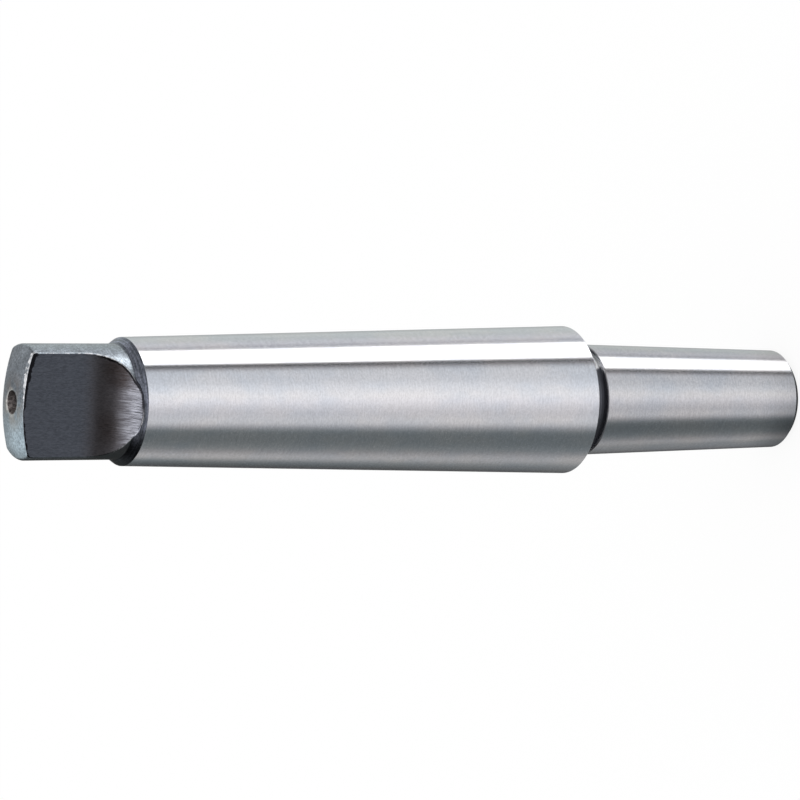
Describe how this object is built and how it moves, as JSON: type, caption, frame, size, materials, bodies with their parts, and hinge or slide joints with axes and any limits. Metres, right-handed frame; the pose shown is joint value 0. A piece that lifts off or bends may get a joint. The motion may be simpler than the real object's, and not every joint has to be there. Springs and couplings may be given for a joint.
{
  "type": "drill chuck arbor",
  "caption": "One-piece steel arbor: a long Morse taper shank with a flat-sided tang at one end and a short male chuck taper at the other.",
  "frame": {"origin": "middle of the lower end face, the small end of the chuck taper, on which the arbor stands", "axes": "+Z along the arbor's axis, from the chuck taper up to the tang; the tang's flats face -Y and +Y"},
  "size_m": [0.024, 0.024, 0.1393],
  "materials": {
    "steel": "ground bright on both tapers, blackened on the tang, its run-outs, the shoulder and the neck"
  },
  "bodies": {
    "root": {"arbor": "steel"}
  },
  "joints": []
}
